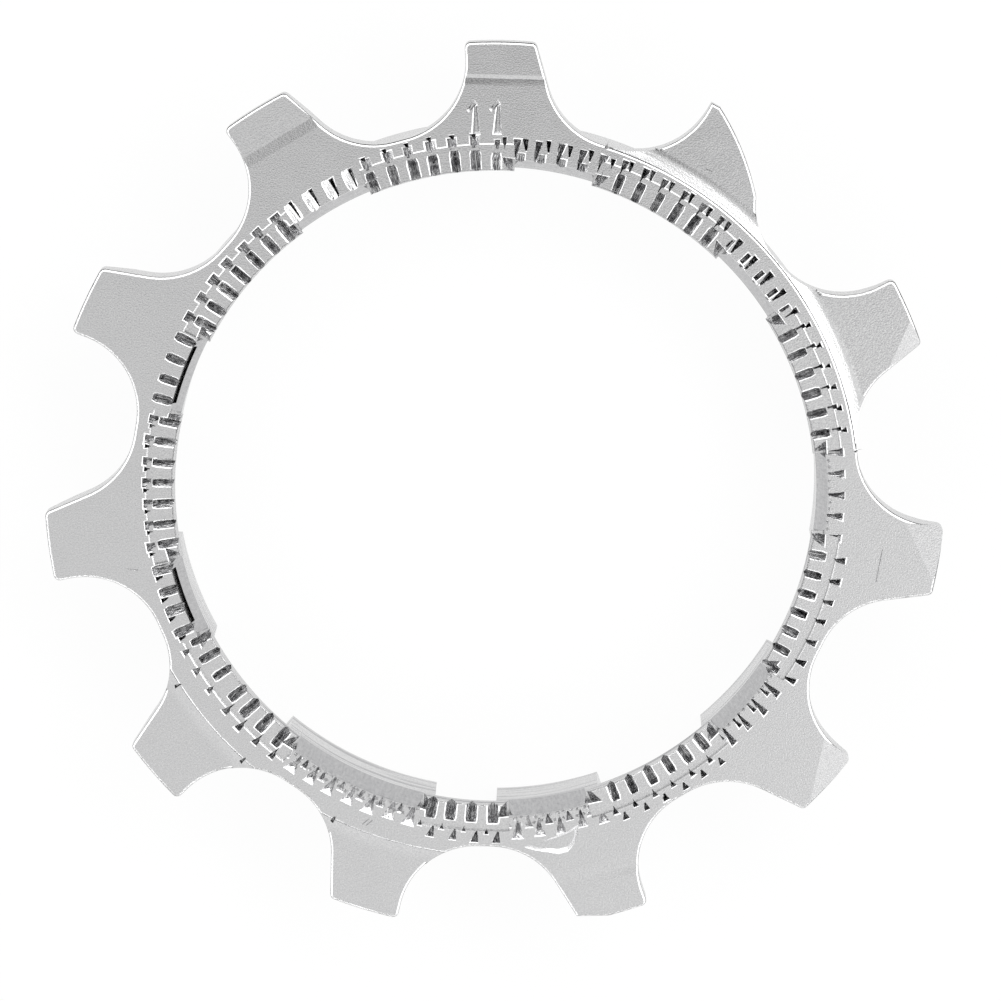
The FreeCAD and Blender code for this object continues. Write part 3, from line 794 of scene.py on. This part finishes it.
def plated_steel():
    """Stamped steel, tumbled and nickel plated: a satin sheen, a fine grain, and dull struck slots with
    painted shade.
    """
    material = bpy.data.materials.new("tumbled_nickel_plated_steel")
    material.use_nodes = True
    tree = material.node_tree
    tree.nodes.clear()
    place = add_node(tree, "ShaderNodeTexCoord").outputs["Object"]

    # The plating has a grain of about a tenth of a millimetre, the stamping a slow waviness
    grain = add_node(tree, "ShaderNodeTexNoise", links={"Vector": place},
                     Scale=1 / (0.075 * METRE), Detail=3.0)
    waves = add_node(tree, "ShaderNodeTexNoise", links={"Vector": place},
                     Scale=1 / (1.6 * METRE), Detail=3.0)

    # The strikes tore the ring's slots, which the tumbling didn't reach: rough, and darker in streaks that
    # run in and out, partly dull metal and partly painted shade inside the slots. So the pattern follows
    # the angle about the bore and the radius
    worked = add_node(tree, "ShaderNodeAttribute", {"attribute_name": "worked"})
    parts = add_node(tree, "ShaderNodeSeparateColor", links={"Color": worked.outputs["Color"]})
    flat = add_node(tree, "ShaderNodeMapping", links={"Vector": place}, Scale=(1, 1, 0))
    turn = add_node(tree, "ShaderNodeTexGradient", {"gradient_type": "RADIAL"}, {"Vector": place})
    reach = add_node(tree, "ShaderNodeVectorMath", {"operation": "LENGTH"},
                     {"Vector": flat.outputs["Vector"]})
    height = add_node(tree, "ShaderNodeSeparateXYZ", links={"Vector": place})
    polar_place = add_node(tree, "ShaderNodeCombineXYZ", links={
        "X": turn.outputs["Fac"], "Y": reach.outputs["Value"], "Z": height.outputs["Z"],
    })
    streak_space = add_node(tree, "ShaderNodeMapping", links={"Vector": polar_place.outputs["Vector"]},
                            Scale=(2 * pi * SPLINE * METRE, 0.35, 0.35))
    tears = add_node(tree, "ShaderNodeTexNoise", links={"Vector": streak_space.outputs["Vector"]},
                     Scale=1 / (0.13 * METRE), Detail=3.0, Roughness=0.6)
    struck = add_node(tree, "ShaderNodeMath", {"operation": "MULTIPLY"})
    tree.links.new(tears.outputs["Fac"], struck.inputs[0])
    tree.links.new(parts.outputs["Red"], struck.inputs[1])
    # Dark patches in the torn slots: partly dull torn metal, partly painted shade inside the slots
    patches = add_node(tree, "ShaderNodeMapRange", links={"Value": tears.outputs["Fac"]},
                       From_Min=0.43, From_Max=0.55, To_Min=0.85, To_Max=0.0)
    dull_and_shaded = add_node(tree, "ShaderNodeMath", {"operation": "MULTIPLY"})
    tree.links.new(patches.outputs["Result"], dull_and_shaded.inputs[0])
    tree.links.new(parts.outputs["Red"], dull_and_shaded.inputs[1])

    # Fine tool lines round the bore's walls, darker in their grooves, and lead-ins darker in patches
    stretch = add_node(tree, "ShaderNodeMapping", links={"Vector": place}, Scale=(0.02, 0.02, 1))
    lines = add_node(tree, "ShaderNodeTexNoise", links={"Vector": stretch.outputs["Vector"]},
                     Scale=1 / (0.2 * METRE), Detail=3.0)
    grooves = add_node(tree, "ShaderNodeMapRange", links={"Value": lines.outputs["Fac"]},
                       From_Min=0.47, From_Max=0.4, To_Min=0.0, To_Max=1.0)
    lined = add_node(tree, "ShaderNodeMath", {"operation": "MULTIPLY"})
    tree.links.new(grooves.outputs["Result"], lined.inputs[0])
    tree.links.new(parts.outputs["Green"], lined.inputs[1])
    darker_lead_ins = add_node(tree, "ShaderNodeMath", {"operation": "MULTIPLY"})
    tree.links.new(parts.outputs["Blue"], darker_lead_ins.inputs[0])
    tree.links.new(tears.outputs["Fac"], darker_lead_ins.inputs[1])
    bore = add_node(tree, "ShaderNodeMath", {"operation": "ADD"})
    tree.links.new(lined.outputs["Value"], bore.inputs[0])
    tree.links.new(darker_lead_ins.outputs["Value"], bore.inputs[1])

    turned = add_node(tree, "ShaderNodeBump", links={"Height": lines.outputs["Fac"]},
                      Strength=0.5, Distance=0.05 * METRE)
    rough = add_node(tree, "ShaderNodeBump", links={
        "Height": struck.outputs["Value"], "Normal": turned.outputs["Normal"],
    }, Strength=1.0, Distance=0.13 * METRE)
    fine = add_node(tree, "ShaderNodeBump", links={
        "Height": grain.outputs["Fac"], "Normal": rough.outputs["Normal"],
    }, Strength=0.12, Distance=0.1 * METRE)
    speck = add_node(tree, "ShaderNodeMapRange", links={"Value": grain.outputs["Fac"]},
                     From_Min=0.3, From_Max=0.7, To_Min=0.0, To_Max=1.0)
    plain = add_node(tree, "ShaderNodeMix", {"data_type": "RGBA"}, {"Factor": speck.outputs["Result"]})
    plain.inputs["A"].default_value = linear("C4C4C5")
    plain.inputs["B"].default_value = linear("D6D6D6")
    wall = add_node(tree, "ShaderNodeMix", {"data_type": "RGBA"},
                    {"Factor": bore.outputs["Value"], "A": plain.outputs["Result"]})
    wall.inputs["B"].default_value = linear("9E9EA0")
    # Painted shade together with real dullness: the torn slots take the darker 8A8A8C
    tone = add_node(tree, "ShaderNodeMix", {"data_type": "RGBA"},
                    {"Factor": dull_and_shaded.outputs["Value"], "A": wall.outputs["Result"]})
    tone.inputs["B"].default_value = linear("8A8A8C")
    gloss = add_node(tree, "ShaderNodeMapRange", links={"Value": waves.outputs["Fac"]},
                     From_Min=0.3, From_Max=0.7, To_Min=0.19, To_Max=0.25)
    shader = add_node(tree, "ShaderNodeBsdfPrincipled", links={
        "Base Color": tone.outputs["Result"], "Roughness": gloss.outputs["Result"],
        "Normal": fine.outputs["Normal"],
    }, Metallic=1.0)
    add_node(tree, "ShaderNodeOutputMaterial", links={"Surface": shader.outputs["BSDF"]})
    return material


# The set: white floor and surroundings, soft boxes all round

def seen_directly(tree):
    """1 for camera, glossy and transmission rays, 0 for all other rays."""
    path = add_node(tree, "ShaderNodeLightPath")
    first = add_node(tree, "ShaderNodeMath", {"operation": "MAXIMUM"})
    tree.links.new(path.outputs["Is Camera Ray"], first.inputs[0])
    tree.links.new(path.outputs["Is Glossy Ray"], first.inputs[1])
    either = add_node(tree, "ShaderNodeMath", {"operation": "MAXIMUM"})
    tree.links.new(first.outputs["Value"], either.inputs[0])
    tree.links.new(path.outputs["Is Transmission Ray"], either.inputs[1])
    return either.outputs["Value"]


def floor_material():
    """White paper that shows plain white, with a trace of the cog's shadow."""
    material = bpy.data.materials.new("white_paper_floor")
    material.use_nodes = True
    tree = material.node_tree
    tree.nodes.clear()
    paper = add_node(tree, "ShaderNodeBsdfDiffuse", Color=linear("F4F4F4"))
    glow = add_node(tree, "ShaderNodeEmission", Color=(1, 1, 1, 1), Strength=1.0)
    part = add_node(tree, "ShaderNodeMath", {"operation": "MULTIPLY"})
    tree.links.new(seen_directly(tree), part.inputs[0])
    part.inputs[1].default_value = 0.94
    mix = add_node(tree, "ShaderNodeMixShader", links={"Fac": part.outputs["Value"]})
    tree.links.new(paper.outputs["BSDF"], mix.inputs[1])
    tree.links.new(glow.outputs["Emission"], mix.inputs[2])
    add_node(tree, "ShaderNodeOutputMaterial", links={"Surface": mix.outputs["Shader"]})
    return material


def white_world():
    world = bpy.data.worlds.new("white_room")
    bpy.context.scene.world = world
    world.use_nodes = True
    tree = world.node_tree
    tree.nodes.clear()
    room = add_node(tree, "ShaderNodeBackground", Color=(1, 1, 1, 1), Strength=0.4)
    white = add_node(tree, "ShaderNodeBackground", Color=(1, 1, 1, 1), Strength=1.0)
    mix = add_node(tree, "ShaderNodeMixShader", links={"Fac": seen_directly(tree)})
    tree.links.new(room.outputs["Background"], mix.inputs[1])
    tree.links.new(white.outputs["Background"], mix.inputs[2])
    add_node(tree, "ShaderNodeOutputWorld", links={"Surface": mix.outputs["Shader"]})


def soft_box(name, azimuth, elevation, width, height, brightness, distance=0.6):
    """A soft box aimed at the cog's middle, as bright as given where it is seen."""
    lamp = bpy.data.lights.new(name, "AREA")
    lamp.shape = "RECTANGLE"
    lamp.size = width
    lamp.size_y = height
    lamp.energy = brightness * pi * width * height
    box = bpy.data.objects.new(name, lamp)
    bpy.context.collection.objects.link(box)
    level = distance * cos(radians(elevation))
    box.location = (level * cos(radians(azimuth)), level * sin(radians(azimuth)),
                    distance * sin(radians(elevation)))
    box.rotation_euler = (-box.location).to_track_quat("-Z", "Y").to_euler()
    return box


def only_reflected(card):
    """A card that the metal reflects, but that neither shows nor shades."""
    card.visible_camera = False
    card.visible_diffuse = False
    card.visible_shadow = False


def camera_shade(axis):
    """Round the camera the room is dark and brightens outwards: satin metal that faces it turns grey."""
    height, radius = 0.5, 0.3
    bpy.ops.object.select_all(action="DESELECT")
    bpy.ops.mesh.primitive_circle_add(vertices=96, radius=radius, fill_type="NGON")
    card = bpy.context.object
    card.name = "camera_shade"
    card.location = axis * height
    card.rotation_euler = axis.to_track_quat("Z", "Y").to_euler()
    material = bpy.data.materials.new("shaded_paper")
    material.use_nodes = True
    tree = material.node_tree
    tree.nodes.clear()
    place = add_node(tree, "ShaderNodeTexCoord")
    out = add_node(tree, "ShaderNodeVectorMath", {"operation": "LENGTH"},
                   {"Vector": place.outputs["Object"]})
    level = add_node(tree, "ShaderNodeMapRange", {"interpolation_type": "SMOOTHSTEP"},
                     {"Value": out.outputs["Value"]},
                     From_Min=0.015, From_Max=0.17, To_Min=0.05, To_Max=0.93)
    glow = add_node(tree, "ShaderNodeEmission", links={"Strength": level.outputs["Result"]},
                    Color=(1, 1, 1, 1))
    add_node(tree, "ShaderNodeOutputMaterial", links={"Surface": glow.outputs["Emission"]})
    card.data.materials.append(material)
    only_reflected(card)


def black_frame():
    """A black sheet with a hole round the cog, its rim turned up: dark lines beside the bright edges."""
    inner, outer, height, lift = 0.03, 0.4, 0.06, 0.0005
    bpy.ops.object.select_all(action="DESELECT")
    bpy.ops.mesh.primitive_circle_add(vertices=96, radius=inner, fill_type="NOTHING",
                                      location=(0, 0, lift))
    card = bpy.context.object
    card.name = "black_frame"
    bpy.ops.object.mode_set(mode="EDIT")
    bpy.ops.mesh.select_all(action="SELECT")
    bpy.ops.mesh.extrude_edges_move()
    bpy.ops.transform.resize(value=(outer / inner, outer / inner, 1))
    bpy.ops.mesh.extrude_edges_move(TRANSFORM_OT_translate={"value": (0, 0, height)})
    bpy.ops.object.mode_set(mode="OBJECT")
    material = bpy.data.materials.new("black_paper")
    material.use_nodes = True
    tree = material.node_tree
    tree.nodes.clear()
    glow = add_node(tree, "ShaderNodeEmission", Color=(1, 1, 1, 1), Strength=0.08)
    add_node(tree, "ShaderNodeOutputMaterial", links={"Surface": glow.outputs["Emission"]})
    card.data.materials.append(material)
    only_reflected(card)


def studio(camera_axis):
    bpy.ops.object.select_all(action="DESELECT")
    bpy.ops.mesh.primitive_plane_add(size=3)
    floor = bpy.context.object
    floor.name = "floor"
    floor.data.materials.append(floor_material())
    white_world()
    camera_shade(camera_axis)
    black_frame()

    # A ring of boxes whitens every rim and lip, one box whitens the ramps, and one the bent tips
    boxes, first, elevation = 8, 15, 31
    for number in range(boxes):
        soft_box("ring_box_%d" % number, 360 / boxes * number + first, elevation, 0.42, 0.26, 1.9)
    soft_box("ramp_box", 37, 44, 0.7, 0.2, 2.4)
    soft_box("tip_box", -34, 70.7, 0.12, 0.09, 0.75, 0.46)


def camera():
    """The photograph's place and lens, fitted to the cog's outline."""
    distance, tilt, swing, roll = 330.0, 9.76, -0.76, -1.50
    turn = (Matrix.Rotation(radians(tilt), 3, "X") @ Matrix.Rotation(radians(swing), 3, "Y")
            @ Matrix.Rotation(radians(roll), 3, "Z"))
    data = bpy.data.cameras.new("camera")
    data.sensor_width = 36.0
    data.sensor_fit = "HORIZONTAL"
    image = 1001
    scale = 19.592
    data.lens = scale * distance / image * data.sensor_width
    middle_x, middle_y = 494.29, 491.24
    data.shift_x = (image / 2 - middle_x) / image
    data.shift_y = (middle_y - image / 2) / image
    data.clip_start = 0.01
    eye = bpy.data.objects.new("camera", data)
    bpy.context.collection.objects.link(eye)
    axes = turn.transposed()
    place = axes.col[2] * distance + UP * FACE
    eye.matrix_world = Matrix.Translation(place * METRE) @ axes.to_4x4()
    bpy.context.scene.camera = eye
    return axes.col[2].copy()


bpy.context.scene.view_settings.view_transform = "Standard"
cog = build_cog()
cog.name = "detailed_cog"
cog.data.materials.clear()
cog.data.materials.append(plated_steel())
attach(cog, "root")
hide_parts(NODE)
studio(camera())
